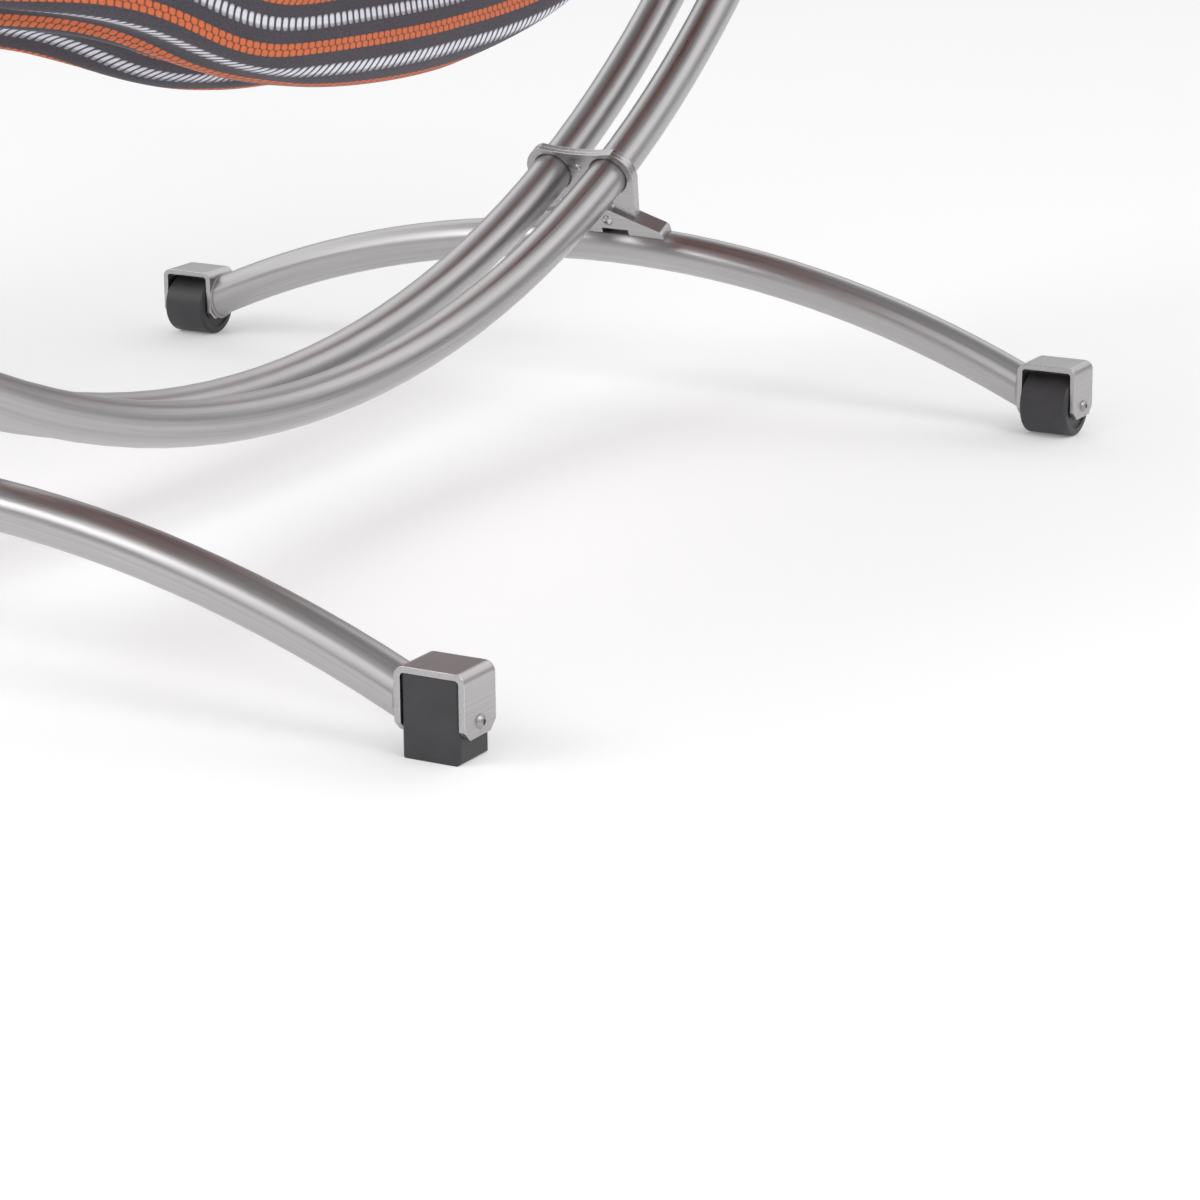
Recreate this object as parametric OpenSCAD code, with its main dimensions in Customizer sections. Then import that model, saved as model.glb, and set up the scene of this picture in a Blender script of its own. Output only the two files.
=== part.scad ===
// Hammock on a free-standing twin-arc tube stand.
// X runs along the stand (front -X, rear +X), Y across it (near side -Y), Z up.
// The origin is on the floor, under the middle of the stand.

/* [Arcs] */
// Mean radius of the two main arcs
arc_r = 1450; // [1300:10:1600]
// Height of the arc centreline at its lowest point
arc_low_z = 123; // [110:1:150]
// Angle from the lowest point of an arc to its tips
arc_tip_angle = 75; // [70:1:78]
// Angle from the lowest point of an arc to its plug-in joints
arc_joint_angle = 46; // [40:1:55]
// Centre distance between the two arcs
arc_pitch = 76; // [70:1:90]

/* [Tube] */
// Outside diameter of every tube
tube_d = 48.3; // [42:0.1:52]
// Wall of every tube
tube_wall = 2; // [1.5:0.1:3]
// Length of the inner sleeve at a plug-in joint
sleeve_len = 110; // [80:5:160]
// Wall of the inner sleeve
sleeve_wall = 2.5; // [2:0.1:4]

/* [Feet] */
// Distance between the two feet along the stand
foot_spacing = 1340; // [1200:10:1500]
// Half the length of a foot tube
foot_half = 565; // [480:5:640]
// Height of a foot tube's centreline at its middle
foot_mid_z = 172; // [160:1:185]
// Height of a foot tube's centreline at its ends
foot_end_z = 50; // [44:1:56]

/* [Foot brackets] */
// Width of a foot bracket, along the foot tube
bracket_w = 72; // [60:1:84]
// Depth of a foot bracket, along the stand
bracket_d = 52; // [46:1:60]
// Room between a roller and the plate above it
bracket_gap = 6; // [4:0.5:10]
// Height of the lower edge of the bracket flanks
flank_z = 23; // [18:1:26]
// Thickness of the bracket steel
bracket_t = 6; // [4:0.5:7]
// Outside radius of the two bends
bend_r = 10; // [7:0.5:14]
// Corner cut on the flanks
flank_cut = 9; // [4:0.5:12]

/* [Wheels and pads] */
// Diameter of a wheel
wheel_d = 72; // [66:1:74]
// Gap on each side of a wheel
wheel_gap = 1; // [0.5:0.1:2]
// Outside diameter of the sleeve that the wheel turns on
axle_sleeve_d = 12; // [11:0.5:16]
// Diameter of the axle and pad bolts
axle_d = 8; // [6:0.5:10]
// Gap around a pad in its bracket
pad_gap = 0.5; // [0.3:0.1:1]

/* [Ring clamps] */
// Thickness of one ring plate; two lie face to face in each clamp
ring_t = 6; // [4:0.5:8]
// Width of the plate left round a clamp's bore
ring_wall = 10.2; // [7:0.1:14]
// Half width of the neck at its lower end
neck_half = 59; // [50:1:66]
// Diameter of the clamp screws
clamp_screw_d = 5; // [4:0.5:6]

/* [Saddles] */
// Half length of a saddle along the foot tube
saddle_half = 97; // [85:1:110]
// Half length of the flat top of a saddle
saddle_flat = 33; // [28:1:40]
// Height of a saddle above the top of the foot tube
saddle_h = 31; // [26:1:36]
// Thickness of one saddle cheek
cheek_t = 5; // [4:0.5:7]
// Half the distance between the two saddle bolts
saddle_bolt_y = 25; // [20:1:28]
// Diameter of the saddle bolts
saddle_bolt_d = 8; // [6:0.5:10]

/* [Hangers] */
// Distance from an arc tip to its hanger bolt
hanger_inset = 45; // [40:1:60]
// Diameter of the hanger bolts
hanger_bolt_d = 10; // [8:0.5:12]
// Distance from the hanger bolt to the middle of the eye
lug_len = 80; // [75:1:95]
// Thickness of the hanger lug
lug_t = 10; // [8:0.5:12]
// Mean radius of the eye
eye_r = 17; // [16:0.5:20]
// Wire radius of the eye
eye_wire_r = 5; // [4:0.5:6]

/* [Carabiners and rings] */
// Mean radius of a carabiner's bends
hook_r = 14; // [13:0.5:17]
// Straight length of a carabiner
hook_straight = 34; // [30:1:45]
// Wire radius of a carabiner
hook_wire_r = 4; // [3.5:0.5:5]
// Radius of the gate's hinge pin
gate_pin_r = 1.25; // [1:0.05:1.5]
// Mean radius of the hammock's end ring
end_ring_r = 22; // [20:0.5:28]
// Wire radius of the end ring
end_ring_wire_r = 4; // [3:0.5:5]

/* [Hammock] */
// Slope of the hammock where it hangs from its rings
hang_angle = 43; // [38:1:50]
// Height of the hammock's lowest point
fabric_low_z = 465; // [420:5:520]
// Half width of the hanging fabric at its middle
fabric_half_w = 300; // [240:5:360]
// Depth of the hanging fabric at its middle
fabric_depth = 380; // [300:5:440]
// Thickness of the folded fabric at its middle
fabric_t = 8; // [6:0.5:12]
// Radius of the gathered ends
gather_r = 24; // [20:0.5:30]
// Length of the gathered part, from the ring to the open fabric
gather_len = 110; // [90:5:150]
// Width of the binding round a gathered end
binding_len = 50; // [40:1:60]
// Thickness of the binding
binding_t = 3.5; // [2:0.5:5]

/* [Hidden] */
$fn = 64;
long_fn = 720;       // steps round the full circle of a long bend

// Clearances
seat_gap = 0.15;     // tube in a ring plate, sleeve in a tube
thread_gap = 0.05;   // screw in its thread, wheel on its sleeve
bolt_gap = 0.2;      // bolt in a drilled hole
wire_gap = 0.3;      // one bent wire resting in another
weld_gap = 0.2;      // saddle on the foot tube
eps = 0.1;           // overshoot of a cut

tube_r = tube_d / 2;
bore_r = tube_r - tube_wall;
ring_r = tube_r + seat_gap + ring_wall;
arc_z = arc_low_z + arc_r;
arc_y = arc_pitch / 2;
foot_x = foot_spacing / 2;
foot_rise = foot_mid_z - foot_end_z;
foot_r = (foot_half ^ 2 + foot_rise ^ 2) / (2 * foot_rise);
foot_sweep = asin(foot_half / foot_r) + 3;

// The clamps stand on the line from the arcs' centre to the foot tube
clamp_angle = atan2(foot_x, arc_z - foot_mid_z);
clamp_drop = norm([foot_x, arc_z - foot_mid_z]) - arc_r;
cheek_x = ring_t + cheek_t / 2;
neck_z = tube_r + 6 - clamp_drop;
bolt_z = tube_r + 17 - clamp_drop;

axle_z = wheel_d / 2;
bracket_top_z = wheel_d + bracket_gap + bracket_t;
bracket_y = foot_half + bracket_w / 2;
bracket_in = bracket_w - 2 * bracket_t;
axle_head_d = axle_d * 1.75;
nut_af = axle_d + 5;
nut_t = 5;

tip_angle = arc_tip_angle - hanger_inset / arc_r * 180 / PI;
hanger_x = arc_r * sin(tip_angle);
hanger_z = arc_z - arc_r * cos(tip_angle);
eye_x = hanger_x - lug_len * cos(hang_angle);
eye_z = hanger_z - lug_len * sin(hang_angle);

// Places along the pull line, from the middle of the eye
hook_top = eye_r - eye_wire_r - hook_wire_r - wire_gap;
hook_a = hook_top + hook_r;
hook_b = hook_a + hook_straight;
ring_near = hook_b + hook_r - hook_wire_r - end_ring_wire_r - wire_gap;
ring_mid = ring_near + end_ring_r;
ring_far = ring_mid + end_ring_r;
gather_end = ring_far + gather_len;
nose_x = hook_a + 3;
gate_tail = 3;
gate_pin_x = hook_b - norm([hook_wire_r, gate_tail]) - 0.7;
tongue_t = 3;

// Bottom line of the hammock: fabric_low_z + rise * (x / reach) ^ power
open_from = gather_end + wire_gap;
reach = eye_x - open_from * cos(hang_angle) + gather_r * sin(hang_angle);
rise = eye_z - open_from * sin(hang_angle) - gather_r * cos(hang_angle) - fabric_low_z;
power = tan(hang_angle) * reach / rise;

steel = [0.72, 0.72, 0.73];
bright = [0.80, 0.80, 0.82];
dark = [0.16, 0.16, 0.17];
charcoal = [0.29, 0.29, 0.32];
orange = [0.88, 0.44, 0.25];

// ---------------------------------------------------------------- placing

// Front parts are the rear ones mirrored; side -1 is front or near, +1 is rear or far
module at_end(side) {
    if (side < 0) mirror([1, 0, 0]) children();
    else children();
}

module at_side(side) {
    if (side < 0) mirror([0, 1, 0]) children();
    else children();
}

// A point of the arc: local X along the tube, local Z towards the arcs' centre
module at_arc(angle) {
    translate([arc_r * sin(angle), 0, arc_z - arc_r * cos(angle)])
        rotate([0, -angle, 0])
            children();
}

// The hook line: origin in the eye, local X along the pull
module at_hook() {
    translate([eye_x, 0, eye_z])
        rotate([0, 180 - hang_angle, 0])
            children();
}

// Stands a drawing in Y and Z and gives it a thickness along X
module sheet_yz(t) {
    rotate([90, 0, 90])
        linear_extrude(t, center = true)
            children();
}

module rod_x(r, from, to) {
    translate([from, 0, 0]) rotate([0, 90, 0]) cylinder(r = r, h = to - from);
}

module rod_y(r, from, to) {
    translate([0, to, 0]) rotate([90, 0, 0]) cylinder(r = r, h = to - from);
}

// ---------------------------------------------------------------- fasteners

// Low round head on the plane z = 0 with a hexagon socket
module button_head(d) {
    h = d * 0.32;
    ball = (d * d / 4 + h * h) / (2 * h);
    difference() {
        intersection() {
            translate([0, 0, h - ball]) sphere(r = ball);
            cylinder(d = d, h = h + eps);
        }
        translate([0, 0, h * 0.35]) cylinder(d = d * 0.42, h = h, $fn = 6);
    }
}

module button_screw(d, len) {
    button_head(d * 1.75);
    translate([0, 0, -len]) cylinder(d = d, h = len + eps);
}

module hex_nut(d, af, h) {
    difference() {
        cylinder(r = af / sqrt(3), h = h, $fn = 6);
        translate([0, 0, -eps]) cylinder(r = d / 2 + thread_gap, h = h + 2 * eps);
    }
}

// ---------------------------------------------------------------- arcs

module arc_shell(from, to, r_out, r_in) {
    translate([0, 0, arc_z])
        rotate([90, 0, 0])
            rotate([0, 0, from - 90])
                rotate_extrude(angle = to - from, $fn = long_fn)
                    translate([arc_r, 0])
                        difference() {
                            circle(r = r_out, $fn = 64);
                            circle(r = r_in, $fn = 64);
                        }
}

sleeve_angle = sleeve_len / 2 / arc_r * 180 / PI;
screw_angle = sleeve_angle / 2;
sleeve_screw_d = 6;

// Holes or screws on the outside of an arc, one each side of a joint
module at_joint_screws(offsets) {
    for (o = offsets)
        at_arc(arc_joint_angle + o)
            translate([0, 0, -tube_r])
                rotate([180, 0, 0])
                    children();
}

module joint_hole(r) {
    translate([0, 0, -tube_wall - sleeve_wall - 2]) cylinder(r = r, h = tube_wall + sleeve_wall + 4);
}

module arc_middle(side) {
    color(steel)
        translate([0, side * arc_y, 0])
            difference() {
                arc_shell(-arc_joint_angle, arc_joint_angle, tube_r, bore_r);
                for (end = [-1, 1])
                    at_end(end)
                        at_joint_screws([-screw_angle])
                            joint_hole(sleeve_screw_d / 2 + bolt_gap);
            }
}

module arc_upper(side, end) {
    color(steel)
        translate([0, side * arc_y, 0])
            at_end(end)
                difference() {
                    arc_shell(arc_joint_angle, arc_tip_angle, tube_r, bore_r);
                    at_joint_screws([screw_angle]) joint_hole(sleeve_screw_d / 2 + bolt_gap);
                    translate([hanger_x, 0, hanger_z])
                        rod_y(hanger_bolt_d / 2 + bolt_gap, -tube_d, tube_d);
                }
}

module joint_sleeve(side, end) {
    sleeve_r = bore_r - 2 * seat_gap;
    color(steel)
        translate([0, side * arc_y, 0])
            at_end(end)
                difference() {
                    arc_shell(arc_joint_angle - sleeve_angle, arc_joint_angle + sleeve_angle,
                              sleeve_r, sleeve_r - sleeve_wall);
                    at_joint_screws([-screw_angle, screw_angle])
                        joint_hole(sleeve_screw_d / 2 + thread_gap);
                }
}

module sleeve_screws() {
    color(bright)
        for (side = [-1, 1], end = [-1, 1])
            translate([0, side * arc_y, 0])
                at_end(end)
                    at_joint_screws([-screw_angle, screw_angle])
                        button_screw(sleeve_screw_d, tube_wall + sleeve_wall + 1.5);
}

// Domed plugs in the four arc tips
module tip_caps() {
    plug_h = 14;
    rim_h = 3;
    dome_h = 7;
    ball = (tube_r ^ 2 + dome_h ^ 2) / (2 * dome_h);
    color(dark)
        for (side = [-1, 1], end = [-1, 1])
            translate([0, side * arc_y, 0])
                at_end(end)
                    at_arc(arc_tip_angle)
                        rotate([0, 90, 0])
                            rotate_extrude() {
                                translate([0, -plug_h]) square([bore_r - 3 * seat_gap, plug_h]);
                                square([tube_r, rim_h]);
                                intersection() {
                                    translate([0, rim_h + dome_h - ball]) circle(r = ball);
                                    translate([0, rim_h]) square([tube_r, dome_h]);
                                }
                            }
}

// ---------------------------------------------------------------- feet

module foot_solid(r) {
    translate([foot_x, 0, foot_mid_z - foot_r])
        rotate([0, -90, 0])
            rotate([0, 0, -foot_sweep])
                rotate_extrude(angle = 2 * foot_sweep, $fn = long_fn)
                    translate([foot_r, 0])
                        circle(r = r, $fn = 64);
}

module foot_tube(end) {
    color(steel)
        at_end(end)
            difference() {
                foot_solid(tube_r);
                foot_solid(bore_r);
                for (side = [-1, 1])
                    translate([foot_x, side * (foot_half + 60), foot_end_z])
                        cube([120, 120, 160], center = true);
            }
}

// Outline of a bent strip: straight flanks and two round bends
module bracket_outline(w, top, r) {
    translate([-w / 2, 0]) square([w, top - r]);
    translate([-w / 2 + r, 0]) square([w - 2 * r, top]);
    for (s = [-1, 1])
        translate([s * (w / 2 - r), top - r]) circle(r = r);
}

module bracket(end, side) {
    color(steel)
        at_end(end)
            at_side(side)
                translate([foot_x, bracket_y, 0])
                    difference() {
                        intersection() {
                            sheet_yz(bracket_d)
                                difference() {
                                    bracket_outline(bracket_w, bracket_top_z, bend_r);
                                    bracket_outline(bracket_in, bracket_top_z - bracket_t,
                                                    bend_r - bracket_t);
                                }
                            rotate([90, 0, 0])
                                linear_extrude(bracket_w + 2, center = true)
                                    polygon([
                                        [-bracket_d / 2, bracket_top_z + 1],
                                        [-bracket_d / 2, flank_z + flank_cut],
                                        [-bracket_d / 2 + flank_cut, flank_z],
                                        [bracket_d / 2 - flank_cut, flank_z],
                                        [bracket_d / 2, flank_z + flank_cut],
                                        [bracket_d / 2, bracket_top_z + 1]
                                    ]);
                        }
                        translate([0, 0, axle_z])
                            rod_y(axle_d / 2 + bolt_gap, -bracket_w, bracket_w);
                    }
}

module at_axle(end, side) {
    at_end(end)
        at_side(side)
            translate([foot_x, bracket_y, axle_z])
                children();
}

// Bolt from the outer flank through to the nut inside the foot tube
module axle_bolt() {
    translate([0, bracket_w / 2, 0])
        rotate([-90, 0, 0])
            button_screw(axle_d, bracket_w + nut_t + 1);
}

module pad_bolts() {
    color(bright)
        for (side = [-1, 1])
            at_axle(-1, side) axle_bolt();
}

module wheel_bolt(side) {
    color(bright) at_axle(1, side) axle_bolt();
}

module weld_nuts() {
    color(steel)
        for (side = [-1, 1], end = [-1, 1])
            at_axle(end, side)
                translate([0, -bracket_w / 2, 0])
                    rotate([90, 0, 0])
                        rotate([0, 0, 30])
                            hex_nut(axle_d, nut_af, nut_t);
}

module axle_sleeve(side) {
    color(bright)
        at_axle(1, side)
            difference() {
                rod_y(axle_sleeve_d / 2, -bracket_in / 2, bracket_in / 2);
                rod_y(axle_d / 2 + thread_gap, -bracket_in, bracket_in);
            }
}

// Wide roller with round shoulders and a shallow dish in each face
module wheel(side) {
    wheel_w = bracket_in - 2 * wheel_gap;
    r = wheel_d / 2;
    shoulder = 4;
    dish_r = r - 9;
    hub_r = axle_sleeve_d / 2 + 5;
    color(dark)
        at_axle(1, side)
            rotate([90, 0, 0])
                rotate_extrude()
                    difference() {
                        union() {
                            translate([0, -wheel_w / 2]) square([r - shoulder, wheel_w]);
                            translate([0, -wheel_w / 2 + shoulder])
                                square([r, wheel_w - 2 * shoulder]);
                            for (s = [-1, 1])
                                translate([r - shoulder, s * (wheel_w / 2 - shoulder)])
                                    circle(r = shoulder);
                        }
                        translate([0, -wheel_w])
                            square([axle_sleeve_d / 2 + thread_gap, 2 * wheel_w]);
                        for (s = [-1, 1])
                            translate([hub_r, s * wheel_w / 2 - 2])
                                square([dish_r - hub_r, 4]);
                    }
}

// Block with round upright corners
module pad(side) {
    w = bracket_in - 2 * pad_gap;
    d = bracket_d - 2;
    h = bracket_top_z - bracket_t - pad_gap;
    edge = 4;
    color(dark)
        at_end(-1)
            at_side(side)
                translate([foot_x, bracket_y, 0])
                    difference() {
                        intersection() {
                            sheet_yz(d) {
                                translate([-w / 2, edge]) square([w, h - 2 * edge]);
                                translate([-w / 2 + edge, 0]) square([w - 2 * edge, h]);
                                for (y = [-1, 1], z = [edge, h - edge])
                                    translate([y * (w / 2 - edge), z]) circle(r = edge);
                            }
                            linear_extrude(h) {
                                square([d, w - 2 * edge], center = true);
                                square([d - 2 * edge, w], center = true);
                                for (x = [-1, 1], y = [-1, 1])
                                    translate([x * (d / 2 - edge), y * (w / 2 - edge)])
                                        circle(r = edge);
                            }
                        }
                        translate([0, 0, axle_z]) rod_y(axle_d / 2 + bolt_gap, -w, w);
                    }
}

// ---------------------------------------------------------------- clamps

clamp_screws_at = [[0, 10], [-34, bolt_z + 20], [34, bolt_z + 20]];

// Where the neck's sides leave the rings, on the line that just touches each ring
neck_turn = atan2(neck_z, neck_half - arc_y) + acos(ring_r / norm([neck_half - arc_y, neck_z]));
shoulder_y = arc_y + (ring_r - seat_gap) * cos(neck_turn);
shoulder_z = (ring_r - seat_gap) * sin(neck_turn);

// Two rings joined by a dished web and a neck
module ring_body() {
    dish_r = 4 * arc_pitch;
    dish_h = 6;
    web_top = ring_r - 2;
    side = [[0.9 * arc_y, web_top], [shoulder_y, shoulder_z], [neck_half, neck_z]];
    difference() {
        union() {
            for (s = [-1, 1])
                translate([0, s * arc_y, 0]) rod_x(ring_r, -ring_t / 2, ring_t / 2);
            sheet_yz(ring_t)
                polygon(concat(side, [for (k = [2 : -1 : 0]) [-side[k][0], side[k][1]]]));
        }
        translate([0, 0, ring_r + dish_r - dish_h]) rod_x(dish_r, -ring_t, ring_t);
    }
}

// One plate of a clamp; layer -1 is the outer one, +1 the inner one
module ring_plate(end, layer) {
    chamfer = 1.5;
    bore = tube_r + seat_gap;
    color(bright)
        at_end(end)
            at_arc(clamp_angle)
                translate([-layer * ring_t / 2, 0, 0])
                    difference() {
                        ring_body();
                        for (s = [-1, 1])
                            translate([0, s * arc_y, 0]) {
                                rod_x(bore, -ring_t, ring_t);
                                translate([-layer * (ring_t / 2 + eps), 0, 0])
                                    rotate([0, layer * 90, 0])
                                        cylinder(r1 = bore + chamfer + eps, r2 = bore,
                                                 h = chamfer + eps);
                            }
                        for (p = clamp_screws_at)
                            translate([0, p[0], p[1]])
                                rod_x(clamp_screw_d / 2 + thread_gap, -ring_t, ring_t);
                        for (s = [-1, 1])
                            translate([0, s * saddle_bolt_y, bolt_z])
                                rod_x(saddle_bolt_d / 2 + bolt_gap, -ring_t, ring_t);
                    }
}

module clamp_screws() {
    color(bright)
        for (end = [-1, 1])
            at_end(end)
                at_arc(clamp_angle)
                    for (p = clamp_screws_at)
                        translate([-ring_t, p[0], p[1]])
                            rotate([0, -90, 0])
                                button_screw(clamp_screw_d, 2 * ring_t - 1);
}

// Side view of a saddle, with z measured from the foot tube's centreline
module saddle_outline() {
    tip_h = 6;
    side = [
        [saddle_flat, tube_r + saddle_h], [saddle_half - tip_h / 2, tube_r + tip_h],
        [saddle_half, tube_r + tip_h / 2], [saddle_half, 0]
    ];
    polygon(concat(side, [for (k = [3 : -1 : 0]) [-side[k][0], side[k][1]]]));
}

// Room for the ring plates' neck between the cheeks
module neck_room() {
    side = [
        [neck_half + wire_gap, 0], [neck_half + wire_gap, neck_z + clamp_drop],
        [shoulder_y + wire_gap, shoulder_z + clamp_drop]
    ];
    polygon(concat(side, [for (k = [2 : -1 : 0]) [-side[k][0], side[k][1]]]));
}

// Two cheeks with a filling piece at each end, cut to sit on the foot tube
module saddle(end) {
    relief_h = 5;
    relief_from = 14;
    relief_to = 50;
    color(steel)
        at_end(end)
            difference() {
                at_arc(clamp_angle)
                    translate([0, 0, -clamp_drop])
                        difference() {
                            sheet_yz(2 * (ring_t + cheek_t)) saddle_outline();
                            sheet_yz(2 * ring_t) neck_room();
                            for (s = [-1, 1])
                                translate([0, s * (relief_from + relief_to) / 2, tube_r])
                                    cube([60, relief_to - relief_from, 2 * relief_h],
                                         center = true);
                            for (s = [-1, 1])
                                translate([0, s * saddle_bolt_y, bolt_z + clamp_drop])
                                    rod_x(saddle_bolt_d / 2 + bolt_gap, -30, 30);
                        }
                foot_solid(tube_r + weld_gap);
            }
}

module at_saddle_bolts() {
    for (end = [-1, 1], s = [-1, 1])
        at_end(end)
            at_arc(clamp_angle)
                translate([0, s * saddle_bolt_y, bolt_z])
                    children();
}

module saddle_bolts() {
    color(bright)
        at_saddle_bolts()
            translate([-ring_t - cheek_t, 0, 0])
                rotate([0, -90, 0])
                    button_screw(saddle_bolt_d, 2 * (ring_t + cheek_t) + nut_t + 1);
}

module saddle_nuts() {
    color(bright)
        at_saddle_bolts()
            translate([ring_t + cheek_t, 0, 0])
                rotate([0, 90, 0])
                    hex_nut(saddle_bolt_d, saddle_bolt_d + 5, nut_t);
}

// ---------------------------------------------------------------- hangers

washer_t = 2;
hanger_face = arc_y + tube_r;
hanger_spacer_len = arc_y - tube_r - lug_t / 2;

module hanger_lug(end) {
    arm_w = 20;
    color(bright)
        at_end(end)
            at_hook()
                difference() {
                    union() {
                        rotate([90, 0, 0])
                            rotate_extrude()
                                translate([eye_r, 0])
                                    circle(r = eye_wire_r);
                        translate([-lug_len, -lug_t / 2, -arm_w / 2])
                            cube([lug_len - eye_r + eye_wire_r / 2, lug_t, arm_w]);
                        translate([-lug_len, 0, 0]) rod_y(14, -lug_t / 2, lug_t / 2);
                    }
                    translate([-lug_len, 0, 0])
                        rod_y(hanger_bolt_d / 2 + bolt_gap, -lug_t, lug_t);
                }
}

module at_hanger() {
    for (end = [-1, 1])
        at_end(end)
            translate([hanger_x, 0, hanger_z])
                children();
}

module hanger_bolts() {
    shank = 2 * (hanger_face + washer_t) + 9;
    color(bright)
        at_hanger()
            translate([0, -hanger_face - washer_t, 0])
                rotate([90, 0, 0]) {
                    cylinder(r = (hanger_bolt_d + 7) / sqrt(3), h = 6.5, $fn = 6);
                    translate([0, 0, -shank]) cylinder(d = hanger_bolt_d, h = shank + eps);
                }
}

// Domed nuts, closed over the bolt's end
module hanger_nuts() {
    af = hanger_bolt_d + 7;
    color(bright)
        at_hanger()
            translate([0, hanger_face + washer_t, 0])
                rotate([-90, 0, 0])
                    difference() {
                        union() {
                            cylinder(r = af / sqrt(3), h = 8, $fn = 6);
                            intersection() {
                                translate([0, 0, 8]) sphere(r = af / 2 - 0.5);
                                cylinder(r = af, h = 30);
                            }
                        }
                        translate([0, 0, -eps])
                            cylinder(r = hanger_bolt_d / 2 + thread_gap, h = 10 + eps);
                    }
}

module hanger_washers() {
    color(bright)
        at_hanger()
            for (side = [-1, 1])
                at_side(side)
                    difference() {
                        rod_y(hanger_bolt_d, hanger_face, hanger_face + washer_t);
                        rod_y(hanger_bolt_d / 2 + bolt_gap, 0, hanger_face + 2 * washer_t);
                    }
}

module hanger_spacers() {
    color(bright)
        at_hanger()
            for (side = [-1, 1])
                at_side(side)
                    difference() {
                        rod_y(hanger_bolt_d - 1, lug_t / 2, lug_t / 2 + hanger_spacer_len);
                        rod_y(hanger_bolt_d / 2 + bolt_gap, 0, arc_y);
                    }
}

// ---------------------------------------------------------------- carabiners

module hook_bend(centre, from) {
    translate([centre, 0, 0])
        rotate([0, 0, from])
            rotate_extrude(angle = 180)
                translate([hook_r, 0])
                    circle(r = hook_wire_r);
}

// Bent wire, open on the +Y side between the nose and the gate's hinge
module carabiner(end) {
    color(bright)
        at_end(end)
            at_hook()
                difference() {
                    union() {
                        hook_bend(hook_a, 90);
                        hook_bend(hook_b, -90);
                        translate([0, -hook_r, 0]) rod_x(hook_wire_r, hook_a, hook_b);
                        translate([0, hook_r, 0]) {
                            rod_x(hook_wire_r, hook_a, nose_x);
                            translate([gate_pin_x, -hook_wire_r + 0.4, -tongue_t / 2])
                                cube([hook_b - gate_pin_x + 1, 2 * hook_wire_r - 0.8, tongue_t]);
                            translate([gate_pin_x, 0, 0])
                                cylinder(r = hook_wire_r - 0.4, h = tongue_t, center = true);
                        }
                    }
                    translate([gate_pin_x, hook_r, 0])
                        cylinder(r = gate_pin_r + 0.02, h = 20, center = true);
                }
}

// Sprung bar that closes the carabiner
module gate(end) {
    slot_t = tongue_t + 0.4;
    color(bright)
        at_end(end)
            at_hook()
                translate([0, hook_r, 0])
                    difference() {
                        rod_x(hook_wire_r, nose_x + 0.5, gate_pin_x + gate_tail);
                        translate([gate_pin_x, 0, 0]) {
                            cube([12, 3 * hook_wire_r, slot_t], center = true);
                            cylinder(r = gate_pin_r + thread_gap, h = 20, center = true);
                        }
                    }
}

module gate_pins() {
    color(steel)
        for (end = [-1, 1])
            at_end(end)
                at_hook()
                    translate([gate_pin_x, hook_r, 0])
                        cylinder(r = gate_pin_r, h = 2 * hook_wire_r, center = true);
}

module end_ring_solid(wire_r) {
    translate([ring_mid, 0, 0])
        rotate([90, 0, 0])
            rotate_extrude()
                translate([end_ring_r, 0])
                    circle(r = wire_r);
}

module end_ring(end) {
    color(bright) at_end(end) at_hook() end_ring_solid(end_ring_wire_r);
}

// ---------------------------------------------------------------- hammock

binding_from = gather_end - binding_len - 8;

// Bunched cloth, folded round the end ring
module gathered_end(end) {
    fold_r = 14;
    fold_h = 26;
    neck_r = 12;
    color(charcoal)
        at_end(end)
            at_hook()
                difference() {
                    union() {
                        translate([ring_far, 0, 0]) cylinder(r = fold_r, h = fold_h, center = true);
                        translate([ring_far + 4, 0, 0])
                            rotate([0, 90, 0])
                                cylinder(r1 = neck_r, r2 = gather_r,
                                         h = binding_from - 3 - ring_far - 4);
                        rod_x(gather_r, binding_from - 3 - eps, gather_end);
                    }
                    end_ring_solid(end_ring_wire_r + wire_gap);
                }
}

module binding(end) {
    color(orange)
        at_end(end)
            at_hook()
                difference() {
                    rod_x(gather_r + wire_gap + binding_t, binding_from,
                          binding_from + binding_len);
                    rod_x(gather_r + wire_gap, binding_from - 1,
                          binding_from + binding_len + 1);
                }
}

stations = 48;
spokes = 12;

// How far a station is from the middle: 0 there, 1 at the gathered ends
function away(i) = abs(2 * i / stations - 1);
function station_x(i) = reach * (2 * i / stations - 1);
function bottom_z(x) = fabric_low_z + rise * pow(abs(x) / reach, power);
function slope_at(x) = sign(x) * atan(rise * power / reach * pow(abs(x) / reach, power - 1));
function half_w(i) = gather_r + (fabric_half_w - gather_r) * pow(1 - pow(away(i), 2), 0.8);
function depth(i) = 2 * gather_r + (fabric_depth - 2 * gather_r) * pow(1 - pow(away(i), 2), 0.9);
function wall(i) = fabric_t + (gather_r - 6 - fabric_t) * pow(away(i), 6);

// A point of the trough at station i: angle a from its bottom, skin 0 outside or 1 inside
function trough_point(i, a, skin) =
    let (
        x = station_x(i),
        tilt = slope_at(x),
        inset = skin * wall(i),
        up = inset + (depth(i) - inset) * (1 - cos(a))
    )
    [x - up * sin(tilt), (half_w(i) - inset) * sin(a), bottom_z(x) + up * cos(tilt)];

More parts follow.
